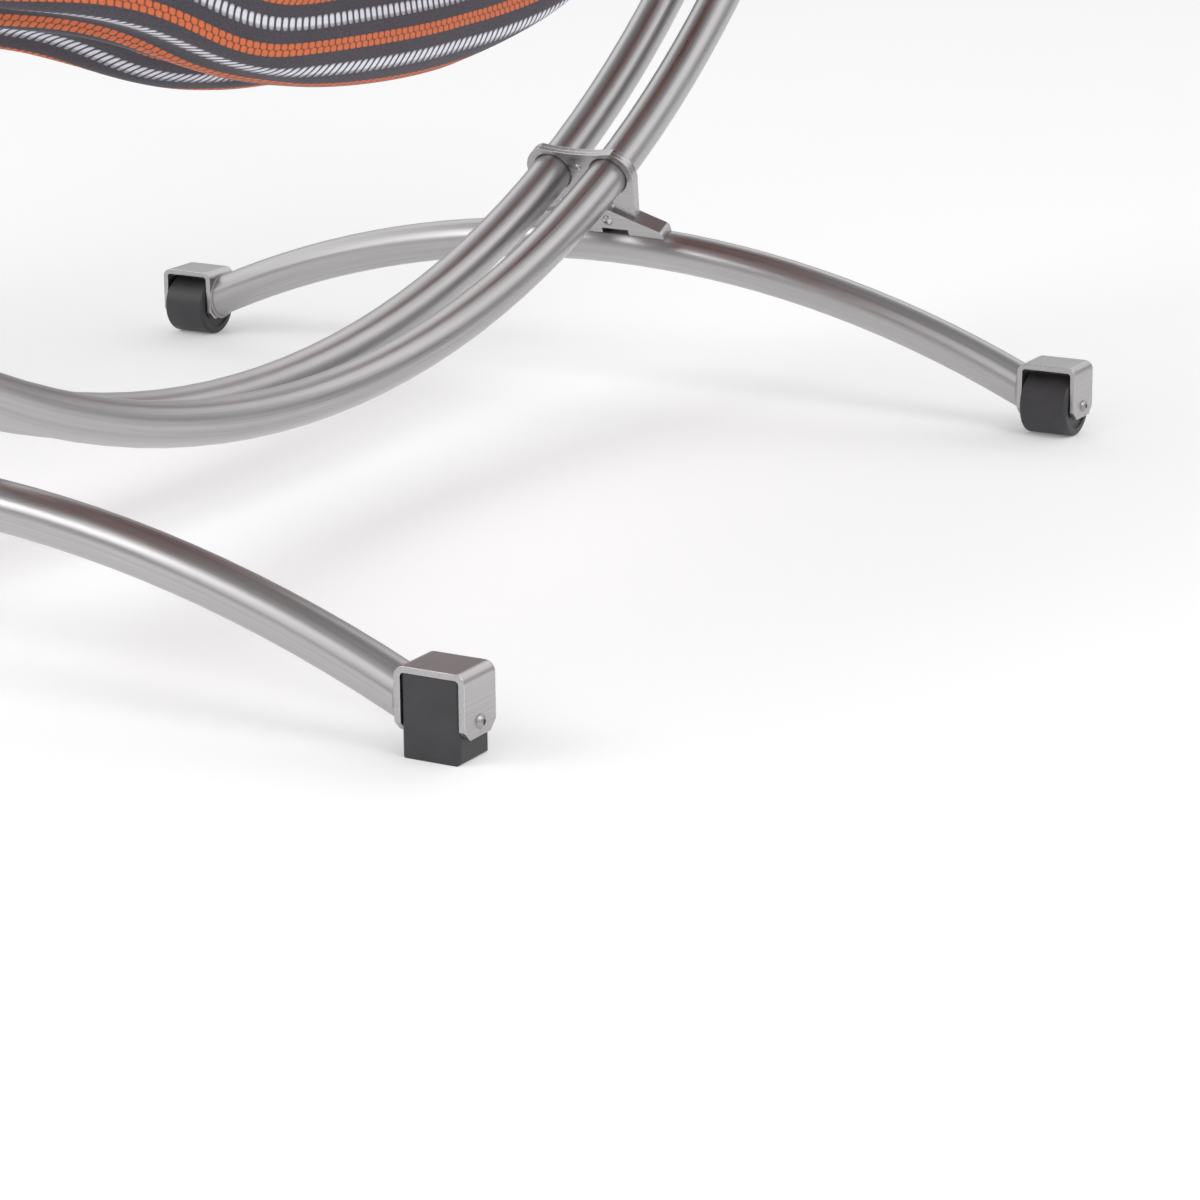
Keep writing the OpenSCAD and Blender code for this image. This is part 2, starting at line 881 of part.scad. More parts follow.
// Each section runs up the outside and back down the inside
ring_points = 2 * (spokes + 1);
trough_points = [
    for (i = [0 : stations])
        each concat(
            [for (k = [0 : spokes]) trough_point(i, -90 + 180 * k / spokes, 0)],
            [for (k = [spokes : -1 : 0]) trough_point(i, -90 + 180 * k / spokes, 1)]
        )
];
function at_ring(i, k) = i * ring_points + k % ring_points;
trough_faces = [
    for (i = [0 : stations - 1], k = [0 : ring_points - 1])
        each [
            [at_ring(i, k), at_ring(i + 1, k + 1), at_ring(i + 1, k)],
            [at_ring(i, k), at_ring(i, k + 1), at_ring(i + 1, k + 1)]
        ],
    for (k = [0 : spokes - 1], i = [0, stations])
        let (
            a = at_ring(i, k), b = at_ring(i, k + 1),
            c = at_ring(i, ring_points - 2 - k), d = at_ring(i, ring_points - 1 - k)
        )
        each (i == 0 ? [[a, d, c], [a, c, b]] : [[a, c, d], [a, b, c]])
];

module hammock_fabric() {
    color(charcoal) polyhedron(points = trough_points, faces = trough_faces, convexity = 8);
}

// ---------------------------------------------------------------- model

arc_middle(-1);  // near_arc_middle
arc_upper(-1, -1);  // near_arc_front
arc_upper(-1, 1);  // near_arc_rear
arc_middle(1);  // far_arc_middle
arc_upper(1, -1);  // far_arc_front
arc_upper(1, 1);  // far_arc_rear
joint_sleeve(-1, -1);  // sleeve_near_front
joint_sleeve(-1, 1);  // sleeve_near_rear
joint_sleeve(1, -1);  // sleeve_far_front
joint_sleeve(1, 1);  // sleeve_far_rear
sleeve_screws();
tip_caps();
ring_plate(-1, -1);  // ring_plate_front_outer
ring_plate(-1, 1);  // ring_plate_front_inner
ring_plate(1, -1);  // ring_plate_rear_outer
ring_plate(1, 1);  // ring_plate_rear_inner
clamp_screws();
saddle(-1);  // saddle_front
saddle(1);  // saddle_rear
saddle_bolts();
saddle_nuts();
foot_tube(-1);  // foot_tube_front
foot_tube(1);  // foot_tube_rear
bracket(-1, -1);  // bracket_front_near
bracket(-1, 1);  // bracket_front_far
bracket(1, -1);  // bracket_rear_near
bracket(1, 1);  // bracket_rear_far
pad(-1);  // pad_near
pad(1);  // pad_far
pad_bolts();
wheel(-1);  // wheel_near
wheel(1);  // wheel_far
wheel_bolt(-1);  // axle_bolt_near
wheel_bolt(1);  // axle_bolt_far
axle_sleeve(-1);  // axle_sleeve_near
axle_sleeve(1);  // axle_sleeve_far
weld_nuts();
hanger_lug(-1);  // hanger_lug_front
hanger_lug(1);  // hanger_lug_rear
hanger_bolts();
hanger_nuts();
hanger_washers();
hanger_spacers();
carabiner(-1);  // carabiner_front
carabiner(1);  // carabiner_rear
gate(-1);  // gate_front
gate(1);  // gate_rear
gate_pins();
end_ring(-1);  // end_ring_front
end_ring(1);  // end_ring_rear
gathered_end(-1);  // gathered_end_front
gathered_end(1);  // gathered_end_rear
binding(-1);  // binding_front
binding(1);  // binding_rear
hammock_fabric();
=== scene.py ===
"""Looks of a free-standing hammock on a twin-arc steel stand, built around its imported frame."""

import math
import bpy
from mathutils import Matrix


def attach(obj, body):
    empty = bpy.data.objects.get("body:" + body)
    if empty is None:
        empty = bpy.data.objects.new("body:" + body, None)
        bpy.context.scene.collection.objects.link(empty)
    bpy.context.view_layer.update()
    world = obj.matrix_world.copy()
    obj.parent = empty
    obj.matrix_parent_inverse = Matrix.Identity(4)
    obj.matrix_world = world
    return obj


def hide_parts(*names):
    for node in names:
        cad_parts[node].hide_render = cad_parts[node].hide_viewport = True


bl_info = {
    "name": "Hammock on a twin-arc stand",
    "version": (1, 0, 0),
    "blender": (4, 5, 0),
    "location": "3D View > Sidebar > Hammock",
    "description": "Finishes the stand, hangs the striped cloth and lights the stage",
    "category": "Add Mesh",
}

import bmesh
import bpy
import numpy as np
from bpy.props import FloatProperty, FloatVectorProperty, IntProperty, PointerProperty
from mathutils import Matrix, Vector

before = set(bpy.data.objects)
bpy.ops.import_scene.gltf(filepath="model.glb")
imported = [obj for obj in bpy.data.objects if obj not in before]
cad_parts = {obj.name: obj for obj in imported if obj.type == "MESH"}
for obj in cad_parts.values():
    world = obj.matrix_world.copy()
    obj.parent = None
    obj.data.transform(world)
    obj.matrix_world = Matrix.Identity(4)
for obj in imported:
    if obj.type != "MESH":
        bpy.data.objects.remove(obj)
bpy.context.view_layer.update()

MM = 0.001

# Lines the tubes are bent to: each arc about a centre above it, each foot about one below it
ARC_R = 1450 * MM
ARC_LOW_Z = 123 * MM
ARC_Z = ARC_LOW_Z + ARC_R
ARC_Y = 38 * MM
TUBE_R = 24.15 * MM
FOOT_X = 670 * MM
FOOT_HALF = 565 * MM
FOOT_MID_Z = 172 * MM
FOOT_END_Z = 50 * MM
FOOT_RISE = FOOT_MID_Z - FOOT_END_Z
FOOT_R = (FOOT_HALF**2 + FOOT_RISE**2) / (2 * FOOT_RISE)

# The eye that an end of the hammock hangs from, and the slope of its pull
HANG = math.radians(43)
HANGER_INSET = 45 * MM
LUG_LEN = 80 * MM
TIP_ANGLE = math.radians(75) - HANGER_INSET / ARC_R
EYE_X = ARC_R * math.sin(TIP_ANGLE) - LUG_LEN * math.cos(HANG)
EYE_Z = ARC_Z - ARC_R * math.cos(TIP_ANGLE) - LUG_LEN * math.sin(HANG)

# Distances from the eye along the pull: the end ring's far side, the gather, where the cloth opens
RING_FAR = 105.4 * MM
GATHER_LEN = 110 * MM
GATHER_END = RING_FAR + GATHER_LEN
OPEN_GAP = 0.3 * MM
OPEN_FROM = GATHER_END + OPEN_GAP
BIND_FROM = 160 * MM
BIND_LEN = 50 * MM

# Bottom line of the cloth: LOW_Z + RISE * (x / REACH) ** POWER, in line with the pull at its ends
GATHER_R = 24 * MM
LOW_Z = 465 * MM
REACH = EYE_X - OPEN_FROM * math.cos(HANG) + GATHER_R * math.sin(HANG)
RISE = EYE_Z - OPEN_FROM * math.sin(HANG) - GATHER_R * math.cos(HANG) - LOW_Z
POWER = math.tan(HANG) * REACH / RISE


# ------------------------------------------------------------------ sizes and colours


class StandLook(bpy.types.PropertyGroup):
    steel: FloatVectorProperty(
        name="Steel", description="Colour of the brushed tubes and plates",
        subtype="COLOR", size=3, min=0, max=1, default=(0.475, 0.465, 0.466))
    # bright steel is also the colour of the painted edge highlights on plates
    bright: FloatVectorProperty(
        name="Bright steel", description="Colour of bolts, rings, hooks and bevels",
        subtype="COLOR", size=3, min=0, max=1, default=(0.62, 0.61, 0.615))
    plastic: FloatVectorProperty(
        name="Plastic", description="Colour of pads, rollers and caps",
        subtype="COLOR", size=3, min=0, max=1, default=(0.037, 0.035, 0.038))
    tube_rough: FloatProperty(
        name="Tube roughness", description="How dull the brushed tubes are",
        min=0.05, max=0.9, default=0.33)
    bead_r: FloatProperty(
        name="Weld bead", description="Radius of a weld ripple",
        unit="LENGTH", default=2.6 * MM)
    bead_step: FloatProperty(
        name="Weld ripple", description="Distance between two weld ripples",
        unit="LENGTH", default=2.0 * MM)


class ClothLook(bpy.types.PropertyGroup):
    ground: FloatVectorProperty(
        name="Ground", description="Colour of the plain bands",
        subtype="COLOR", size=3, min=0, max=1, default=(0.052, 0.044, 0.058))
    warm: FloatVectorProperty(
        name="Orange", description="Colour of the orange floats",
        subtype="COLOR", size=3, min=0, max=1, default=(0.74, 0.165, 0.052))
    pale: FloatVectorProperty(
        name="Silver", description="Colour of the silver-white floats",
        subtype="COLOR", size=3, min=0, max=1, default=(0.84, 0.84, 0.92))
    width: FloatProperty(
        name="Width", description="Width the cloth was cut to",
        unit="LENGTH", default=1.05)
    length: FloatProperty(
        name="Length", description="Length the cloth was cut to, loops included",
        unit="LENGTH", default=2.85)
    thickness: FloatProperty(
        name="Thickness", description="Thickness of one layer of cloth",
        unit="LENGTH", default=1.5 * MM)
    pleats: IntProperty(
        name="Pleats", description="Pleats that run into each gathered end",
        min=6, max=30, default=17)
    cells: IntProperty(
        name="Cells along", description="Rows of faces along the cloth",
        min=60, max=400, default=180)
    columns: IntProperty(
        name="Cells across", description="Columns of faces across the cloth",
        min=60, max=400, default=256)
    whip_r: FloatProperty(
        name="Whipping", description="Radius of the cord wound round each end",
        unit="LENGTH", default=1.9 * MM)
    hem_r: FloatProperty(
        name="Hem", description="Radius of the rolled hem along both edges",
        unit="LENGTH", default=2.6 * MM)


class StageLook(bpy.types.PropertyGroup):
    lens: FloatProperty(
        name="Lens", description="Focal length for a 36 mm sensor",
        unit="CAMERA", default=118.742)
    place: FloatVectorProperty(
        name="Camera place", description="Where the camera stands",
        subtype="TRANSLATION", size=3, default=(-3.4639, -2.3471, 1.0916))
    yaw: FloatProperty(
        name="Yaw", description="Heading of the camera from +X",
        unit="ROTATION", default=math.radians(29.64))
    pitch: FloatProperty(
        name="Pitch", description="How far the camera looks down",
        unit="ROTATION", default=math.radians(16.13))
    roll: FloatProperty(
        name="Roll", description="Lean of the camera",
        unit="ROTATION", default=math.radians(-0.45))
    floor: FloatVectorProperty(
        name="Floor", description="Colour of the floor",
        subtype="COLOR", size=3, min=0, max=1, default=(0.90, 0.90, 0.905))
    key: FloatProperty(
        name="Softboxes", description="Power of each of the two big soft lamps",
        unit="POWER", default=48)
    fill: FloatProperty(
        name="Sky", description="Strength of the light from all round",
        min=0, max=5, default=0.92)


# ------------------------------------------------------------------ node graphs


class Graph:
    """Short calls for a material or geometry node tree."""

    def __init__(self, tree):
        self.tree = tree
        tree.nodes.clear()

    def node(self, kind, inputs=(), **props):
        n = self.tree.nodes.new(kind)
        for key, value in props.items():
            setattr(n, key, value)
        for key, value in dict(inputs).items():
            self.feed(n.inputs[key], value)
        return n

    def feed(self, socket, value):
        if isinstance(value, bpy.types.NodeSocket):
            self.tree.links.new(value, socket)
        elif value is not None:
            socket.default_value = value

    def math(self, op, *args, clamp=False):
        n = self.node("ShaderNodeMath", operation=op, use_clamp=clamp)
        for i, a in enumerate(args):
            self.feed(n.inputs[i], a)
        return n.outputs[0]

    def add(self, a, b):
        return self.math("ADD", a, b)

    def sub(self, a, b):
        return self.math("SUBTRACT", a, b)

    def mul(self, a, b):
        return self.math("MULTIPLY", a, b)

    def vector(self, x, y, z):
        return self.node("ShaderNodeCombineXYZ", {0: x, 1: y, 2: z}).outputs[0]

    def parts(self, v):
        return self.node("ShaderNodeSeparateXYZ", {0: v}).outputs

    def mix(self, factor, a, b):
        n = self.node("ShaderNodeMix", data_type="RGBA")
        for i, v in ((0, factor), (6, a), (7, b)):
            self.feed(n.inputs[i], opaque(v))
        return n.outputs[2]

    def span(self, value, lo, hi, to_lo=0.0, to_hi=1.0):
        n = self.node("ShaderNodeMapRange", {0: value, 1: lo, 2: hi, 3: to_lo, 4: to_hi})
        return n.outputs[0]

    def noise(self, vector, scale, detail=2.0, rough=0.5):
        n = self.node("ShaderNodeTexNoise",
                      {"Vector": vector, "Scale": scale, "Detail": detail, "Roughness": rough})
        return n.outputs[0]


def opaque(v):
    """A colour of three numbers with its alpha added; anything else as it is."""
    return (*v, 1.0) if hasattr(v, "__len__") and len(v) == 3 else v


def material(name, build, **constants):
    """A Principled material: build gives its linked sockets, constants are set on the shader."""
    m = bpy.data.materials.new(name)
    m.use_nodes = True
    g = Graph(m.node_tree)
    shader = g.node("ShaderNodeBsdfPrincipled")
    out = g.node("ShaderNodeOutputMaterial")
    g.feed(out.inputs["Surface"], shader.outputs[0])
    for key, value in constants.items():
        shader.inputs[key.replace("_", " ")].default_value = opaque(value)
    for key, value in build(g).items():
        g.feed(shader.inputs[key], value)
    m.diffuse_color = (0.5, 0.5, 0.5, 1.0)
    return m


def object_co(g):
    return g.node("ShaderNodeTexCoord").outputs["Object"]


def object_xyz(g):
    return g.parts(object_co(g))


def bump(g, height, distance, strength=1.0, normal=None):
    n = g.node("ShaderNodeBump", {"Height": height, "Distance": distance, "Strength": strength})
    if normal is not None:
        g.feed(n.inputs["Normal"], normal)
    return n.outputs[0]


def edge_mask(g, radius, gain):
    """1 along sharp edges and 0 on open faces, with the rounded normal; it places the painted edge
    highlights.
    """
    rounded = g.node("ShaderNodeBevel", {"Radius": radius}, samples=6).outputs[0]
    flat = g.node("ShaderNodeNewGeometry").outputs["Normal"]
    dot = g.node("ShaderNodeVectorMath", {0: rounded, 1: flat}, operation="DOT_PRODUCT").outputs[1]
    return g.math("MULTIPLY", g.sub(1.0, dot), gain, clamp=True), rounded


def shade(colour, factor):
    """The colour made lighter or darker by a factor."""
    return tuple(min(1.0, c * factor) for c in colour)


# Noise cycles per metre, along and across the strokes: coarse hair lines, scratches, clouds
HAIR = (1.6, 420)
SCRATCH = (9.0, 1500)
CLOUD = (5.0, 14)


def brushed(g, colour, rough, along, side, out):
    """Brushed steel: hair lines and scratches along the piece, and slow clouding."""

    def strokes(cycles, detail, grit):
        length, width = cycles
        place = g.vector(g.mul(along, length), g.mul(side, width), g.mul(out, width))
        return g.noise(place, 1.0, detail, grit)

    lines = strokes(HAIR, 3.0, 0.6)
    fine = strokes(SCRATCH, 2.0, 0.6)
    cloud = strokes(CLOUD, 3.0, 0.5)
    tone = g.add(g.mul(lines, 0.6), g.mul(fine, 0.4))
    base = g.mix(g.span(tone, 0.34, 0.66), shade(colour, 0.86), shade(colour, 1.14))
    base = g.mix(g.span(cloud, 0.35, 0.75, 0.0, 0.35), base, shade(colour, 0.92))
    dull = g.span(tone, 0.3, 0.7, rough - 0.07, rough + 0.07)
    return base, g.add(dull, g.span(cloud, 0.3, 0.7, -0.03, 0.05)), tone


SEAM_HALF = 0.7 * MM


def tube_steel(name, look, feet):
    """Steel brushed along a bent tube: the arcs lie in X and Z, the feet in Y and Z."""

    def build(g):
        x, y, z = object_xyz(g)
        if feet:
            run, side, radius = y, g.sub(g.math("ABSOLUTE", x), FOOT_X), FOOT_R
            rise = g.sub(z, FOOT_MID_Z - FOOT_R)
        else:
            run, side, radius = x, g.sub(g.math("ABSOLUTE", y), ARC_Y), ARC_R
            rise = g.sub(ARC_Z, z)
        out = g.sub(g.math("SQRT", g.add(g.mul(run, run), g.mul(rise, rise))), radius)
        along = g.mul(g.math("ARCTAN2", run, rise), radius)
        base, dull, tone = brushed(g, look.steel, look.tube_rough, along, side, out)
        # the drawn seam runs along the underside, which is inside a foot's bend and outside an arc's
        under = g.math("LESS_THAN" if feet else "GREATER_THAN", out, 0.0)
        seam = g.mul(g.math("LESS_THAN", g.math("ABSOLUTE", side), SEAM_HALF), under)
        base = g.mix(g.mul(seam, 0.55), base, shade(look.steel, 0.45))
        return {"Base Color": base, "Roughness": dull, "Normal": bump(g, tone, 0.12 * MM, 0.35)}

    return material(name, build, Metallic=1.0, IOR=2.5)


def plate_steel(name, look, way, rough=0.30, gain=9.0, lift=1.0):
    """Steel plate brushed one way, with a painted highlight lightening its edges."""

    def build(g):
        x, y, z = object_xyz(g)
        along, side, out = {"X": (x, y, z), "Y": (y, x, z), "Z": (z, x, y)}[way]
        base, dull, tone = brushed(g, shade(look.steel, lift), rough, along, side, out)
        edge, rounded = edge_mask(g, 1.3 * MM, gain)
        # painted highlight: the edges are lightened towards bright steel, as if light caught them
        base = g.mix(g.mul(edge, 0.8), base, shade(look.bright, 1.15))
        dull = g.sub(dull, g.mul(edge, 0.08))
        return {"Base Color": base, "Roughness": dull, "Normal": bump(g, tone, 0.1 * MM, 0.3, rounded)}

    return material(name, build, Metallic=1.0, IOR=2.5)


def bright_steel(name, look, rough=0.2, lift=1.0):
    """Polished steel with faint turning marks, handling wear and a painted highlight along its edges."""

    def build(g):
        co = object_co(g)
        mark = g.noise(co, 900.0, 3.0)
        wear = g.noise(co, 60.0, 3.0)
        colour = shade(look.bright, lift)
        base = g.mix(g.span(wear, 0.4, 0.7), colour, shade(colour, 0.82))
        dull = g.add(g.span(mark, 0.3, 0.7, rough - 0.04, rough + 0.05), g.span(wear, 0.45, 0.7, 0.0, 0.08))
        edge, rounded = edge_mask(g, 0.5 * MM, 6.0)
        # painted highlight: the edges are lightened, as if light caught them
        base = g.mix(g.mul(edge, 0.5), base, shade(colour, 1.2))
        return {"Base Color": base, "Roughness": dull, "Normal": bump(g, mark, 0.05 * MM, 0.3, rounded)}

    return material(name, build, Metallic=1.0, IOR=2.5)


def moulded(name, look, lift=1.0):
    """Charcoal moulded plastic: satin grain, softened edges painted paler as a highlight, slight dust."""

    def build(g):
        co = object_co(g)
        grain = g.noise(co, 2600.0, 2.0)
        cloud = g.noise(co, 35.0, 3.0)
        edge, rounded = edge_mask(g, 1.6 * MM, 5.0)
        dark = shade(look.plastic, lift)
        base = g.mix(g.span(cloud, 0.35, 0.7), shade(dark, 0.88), shade(dark, 1.15))
        # painted highlight: the softened edges are lightened
        base = g.mix(g.mul(edge, 0.5), base, shade(dark, 2.2))
        dull = g.add(g.span(grain, 0.3, 0.7, 0.40, 0.52), g.span(cloud, 0.3, 0.7, -0.03, 0.04))
        return {"Base Color": base, "Roughness": dull, "Normal": bump(g, grain, 0.06 * MM, 0.5, rounded)}

    return material(name, build, Metallic=0.0, IOR=1.5)


# Stripe plan across the cloth: silver floats, plain, orange floats, plain
SILVER_W = 15.5 * MM
ORANGE_W = 14 * MM
PLAIN_W = 14 * MM
PLAN_W = SILVER_W + ORANGE_W + 2 * PLAIN_W
# Steps of the floats along their rows, of the ribs between them and of the slanting twill
FLOAT_STEP = 11.6 * MM
RIB_STEP = 1.25 * MM
TWILL_STEP = 1.1 * MM


def woven(name, look):
    """Striped cloth on its own UV map: U along and V across, both in metres."""

    def build(g):
        u, v, _ = g.parts(g.node("ShaderNodeUVMap", uv_map="weave").outputs[0])
        across = g.math("FLOORED_MODULO", v, PLAN_W)
        # 1 in one silver stripe and -1 in the next, so that their floats lean opposite ways
        plan = g.math("FLOOR", g.math("DIVIDE", v, PLAN_W))
        leaning = g.sub(g.mul(g.math("PINGPONG", plan, 1.0), 2.0), 1.0)

        def off_round(value, half):
            """How far a place in a cell is from its middle, steep near the half size."""
            return g.math("POWER", g.math("ABSOLUTE", g.math("DIVIDE", value, half)), 3.0)

        def rows(start, width, count, fill, slim, lean):
            """Rows of floats in one band: 1 in a float and 0 between them, and 1 in the band."""
            inside = g.mul(g.math("GREATER_THAN", across, start), g.math("LESS_THAN", across, start + width))
            place = g.math("DIVIDE", g.sub(across, start), width / count)
            row = g.math("FLOOR", place)
            y = g.sub(g.sub(place, row), 0.5)
            slant = g.mul(g.mul(y, leaning), lean)
            x = g.add(g.math("DIVIDE", u, FLOAT_STEP), g.add(g.mul(row, 0.5), slant))
            x = g.sub(g.math("FRACT", x), 0.5)
            edge = g.add(off_round(x, slim), off_round(y, fill))
            return g.mul(inside, g.span(edge, 1.2, 0.5)), inside

        silver, silver_in = rows(0.0, SILVER_W, count=1, fill=0.54, slim=0.36, lean=0.75)
        orange, orange_in = rows(SILVER_W + PLAIN_W, ORANGE_W, count=2, fill=0.54, slim=0.43, lean=0.15)

        rib = g.math("SINE", g.mul(u, 2 * math.pi / RIB_STEP))
        twill = g.math("SINE", g.mul(g.add(g.mul(u, 0.6), v), 2 * math.pi / TWILL_STEP))
        fuzz = g.noise(g.vector(g.mul(u, 900), g.mul(v, 900), 0.0), 1.0, 3.0)
        thread = g.add(g.mul(rib, 0.28), g.add(g.mul(twill, 0.16), g.mul(g.sub(fuzz, 0.5), 1.5)))

        # plain bands: yarns of mixed tone, with slow blotches
        melange = g.noise(g.vector(g.mul(u, 260), g.mul(v, 420), 0.0), 1.0, 4.0, 0.65)
        tone = g.add(g.mul(thread, 0.5), g.mul(g.sub(melange, 0.5), 2.4))
        plain = g.mix(g.span(tone, -0.5, 0.5), shade(look.ground, 0.55), shade(look.ground, 1.50))
        blotch = g.noise(object_co(g), 26.0, 3.0)
        plain = g.mix(g.span(blotch, 0.4, 0.7, 0.0, 0.3), plain, shade(look.ground, 0.8))

        # floats: painted shade darkens each silver float away from its crown, and the bands are darker
        # between the floats
        crown = g.math("ABSOLUTE", g.sub(across, 0.42 * SILVER_W))
        float_shade = g.span(crown, 0.22 * SILVER_W, 0.42 * SILVER_W)
        pale = g.mix(float_shade, look.pale, shade(look.pale, 0.42))
        pale = g.mix(g.span(fuzz, 0.35, 0.7, 0.0, 0.35), pale, shade(look.pale, 0.55))
        warm = g.mix(g.span(fuzz, 0.35, 0.7), shade(look.warm, 0.72), shade(look.warm, 1.15))
        colour = g.mix(silver_in, plain, shade(look.ground, 1.10))
        colour = g.mix(orange_in, colour, shade(look.warm, 0.26))
        colour = g.mix(silver, colour, pale)
        colour = g.mix(orange, colour, warm)
        height = g.add(g.add(silver, orange), g.mul(thread, 0.18))
        return {"Base Color": colour, "Normal": bump(g, height, 0.7 * MM, 0.9)}

    return material(name, build, Roughness=0.86, Sheen_Weight=0.18, Sheen_Roughness=0.45)


STRAND_STEP = 1.6 * MM


def webbing(name, colour):
    """Twisted cord or tape: fine slanting strands."""

    def build(g):
        co = object_co(g)
        x, y, z = g.parts(co)
        strand = g.math("SINE", g.mul(g.add(g.add(x, y), z), 2 * math.pi / STRAND_STEP))
        fuzz = g.noise(co, 1400.0, 3.0)
        tone = g.add(g.mul(strand, 0.5), fuzz)
        base = g.mix(g.span(tone, 0.0, 1.0), shade(colour, 0.55), shade(colour, 1.2))
        return {"Base Color": base, "Normal": bump(g, tone, 0.3 * MM, 0.8)}

    return material(name, build, Roughness=0.85, Sheen_Weight=0.15)


def dress(node, mat):
    """Gives a CAD node a material of this scene."""
    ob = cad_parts[node]
    if not ob.material_slots:
        ob.data.materials.append(mat)
    for s in ob.material_slots:
        s.material = mat


def nodes_named(*starts):
    """Names of the CAD nodes that start in one of these ways."""
    return [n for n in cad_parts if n.startswith(starts)]


# ------------------------------------------------------------------ meshes


def mesh_object(name, verts, faces, mat, smooth=True):
    """A new object with its place in its mesh."""
    me = bpy.data.meshes.new(name)
    me.from_pydata([tuple(p) for p in verts], [], [tuple(f) for f in faces])
    me.materials.append(mat)
    me.polygons.foreach_set("use_smooth", [smooth] * len(me.polygons))
    me.update()
    ob = bpy.data.objects.new(name, me)
    bpy.context.collection.objects.link(ob)
    return ob


def grid_faces(rows, cols, wrap=False):
    """Quads between rows of points, closed round the columns if wrap."""
    last = cols if wrap else cols - 1
    quads = []
    for i in range(rows - 1):
        here, above = i * cols, (i + 1) * cols
        for k in range(last):
            beside = (k + 1) % cols
            quads.append((here + k, here + beside, above + beside, above + k))
    return quads


def tube_mesh(name, rings, mat):
    """A closed skin over rings of points, with flat ends."""
    rows, cols = len(rings), len(rings[0])
    verts = [p for ring in rings for p in ring]
    faces = grid_faces(rows, cols, wrap=True)
    faces.append(tuple(reversed(range(cols))))
    faces.append(tuple((rows - 1) * cols + k for k in range(cols)))
    ob = mesh_object(name, verts, faces, mat)
    face_out(ob)
    return ob


def face_out(ob):
    """Merges doubled points and turns every face outwards."""
    bm = bmesh.new()
    bm.from_mesh(ob.data)
    bmesh.ops.remove_doubles(bm, verts=bm.verts, dist=1e-6)
    bmesh.ops.recalc_face_normals(bm, faces=bm.faces)
    bm.to_mesh(ob.data)
    bm.free()


def pull_matrix(end):
    """Local X from the eye along the pull, at the front (-1) or rear (+1) end."""
    turn = Matrix.Rotation(math.pi - HANG, 4, "Y")
    m = Matrix.Translation((EYE_X, 0, EYE_Z)) @ turn
    return Matrix.Scale(-1, 4, (1, 0, 0)) @ m if end < 0 else m


# ------------------------------------------------------------------ geometry node trees


def group(name, sockets):
    """A geometry node tree with a path in, a geometry out, named number inputs and a material."""
    tree = bpy.data.node_groups.new(name, "GeometryNodeTree")
    ports = tree.interface
    ports.new_socket("Path", in_out="INPUT", socket_type="NodeSocketGeometry")
    ids = {}
    for label, kind in {**sockets, "Material": "NodeSocketMaterial"}.items():
        ids[label] = ports.new_socket(label, in_out="INPUT", socket_type=kind).identifier
    ports.new_socket("Geometry", in_out="OUTPUT", socket_type="NodeSocketGeometry")
    g = Graph(tree)
    return g, g.node("NodeGroupInput").outputs, ids


def close_group(g, inputs, geometry):
    """Ends a tree in real faces with its material."""
    real = g.node("GeometryNodeRealizeInstances", {"Geometry": geometry})
    paint = g.node("GeometryNodeSetMaterial",
                   {"Geometry": real.outputs[0], "Material": inputs["Material"]})
    g.feed(g.node("NodeGroupOutput").inputs[0], paint.outputs[0])


def grow(name, tree_ids, base, values, mat):
    """Runs a tree on a base mesh and keeps the result as a plain mesh object."""
    tree, ids = tree_ids
    mod = base.modifiers.new("grow", "NODES")
    mod.node_group = tree
    for label, value in {**values, "Material": mat}.items():
        mod[ids[label]] = value
    base.update_tag()
    graph = bpy.context.evaluated_depsgraph_get()
    graph.update()
    me = bpy.data.meshes.new_from_object(base.evaluated_get(graph))
    if not len(me.polygons):
        raise RuntimeError(name + ": the node tree made no faces")
    me.name = name
    me.materials.clear()
    me.materials.append(mat)
    me.polygons.foreach_set("use_smooth", [True] * len(me.polygons))
    ob = bpy.data.objects.new(name, me)
    bpy.context.collection.objects.link(ob)
    bpy.data.objects.remove(base)
    return ob


def path_mesh(name, loops, closed):
    """Plain edges along one or more runs of points."""
    verts, edges = [], []
    for run in loops:
        n = len(verts)
        verts += [tuple(p) for p in run]
        edges += [(n + i, n + i + 1) for i in range(len(run) - 1)]
        if closed:
            edges.append((n + len(run) - 1, n))
    me = bpy.data.meshes.new(name)
    me.from_pydata(verts, edges, [])
    ob = bpy.data.objects.new(name, me)
    bpy.context.collection.objects.link(ob)
    return ob


def ripple_tree():
    """Overlapping rounded ripples along a path, as in a weld bead."""
    g, inputs, ids = group("weld_ripples", {"Radius": "NodeSocketFloat", "Step": "NodeSocketFloat"})
    curve = g.node("GeometryNodeMeshToCurve", {"Mesh": inputs["Path"]})
    points = g.node("GeometryNodeCurveToPoints",
                    {"Curve": curve.outputs[0], "Length": inputs["Step"]}, mode="LENGTH")
    ball = g.node("GeometryNodeMeshIcoSphere", {"Radius": inputs["Radius"], "Subdivisions": 2})
    put = g.node("GeometryNodeInstanceOnPoints", {
        "Points": points.outputs["Points"], "Instance": ball.outputs["Mesh"],
        "Rotation": points.outputs["Rotation"], "Scale": (1.0, 1.0, 0.62)})
    close_group(g, inputs, put.outputs[0])
    return g.tree, ids


def winding_tree():
    """A round cord swept along its path, with closed ends."""
    g, inputs, ids = group("wound_cord", {"Radius": "NodeSocketFloat"})
    curve = g.node("GeometryNodeMeshToCurve", {"Mesh": inputs["Path"]})
    ring = g.node("GeometryNodeCurvePrimitiveCircle", {"Radius": inputs["Radius"], "Resolution": 10})
    skin = g.node("GeometryNodeCurveToMesh", {
        "Curve": curve.outputs[0], "Profile Curve": ring.outputs[0], "Fill Caps": True})
    close_group(g, inputs, skin.outputs[0])
    return g.tree, ids


# ------------------------------------------------------------------ the hanging cloth


